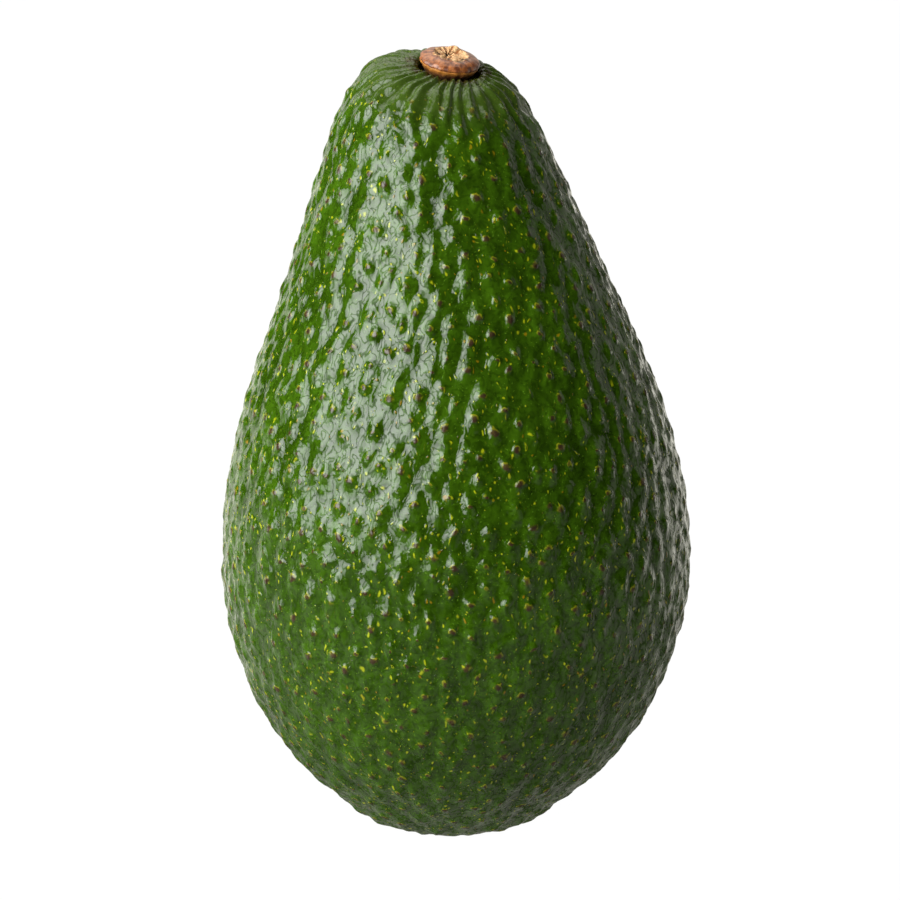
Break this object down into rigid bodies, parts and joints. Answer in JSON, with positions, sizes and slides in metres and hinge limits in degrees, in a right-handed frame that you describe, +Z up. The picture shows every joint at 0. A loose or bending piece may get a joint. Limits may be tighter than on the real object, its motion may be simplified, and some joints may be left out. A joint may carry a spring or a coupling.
{
  "type": "avocado",
  "caption": "Whole pear-shaped avocado with pebbled green skin and a woody stem button in a pleated hollow, standing on a small flat spot.",
  "frame": {"origin": "middle of the small flat spot at the blossom end, which the fruit stands on", "axes": "+Z up along the fruit towards its stem button, +X towards the side that its crown falls to, -Y towards the side that its crown leans out over"},
  "size_m": [0.0663, 0.0646, 0.1113],
  "materials": {
    "skin": "waxy, pebbled green rind with yellow-green specks and brownish tips",
    "stem": "russet corky bark with a torn pale tan scar"
  },
  "bodies": {
    "root": {"fruit": "skin", "stem_button": "stem"}
  },
  "joints": []
}
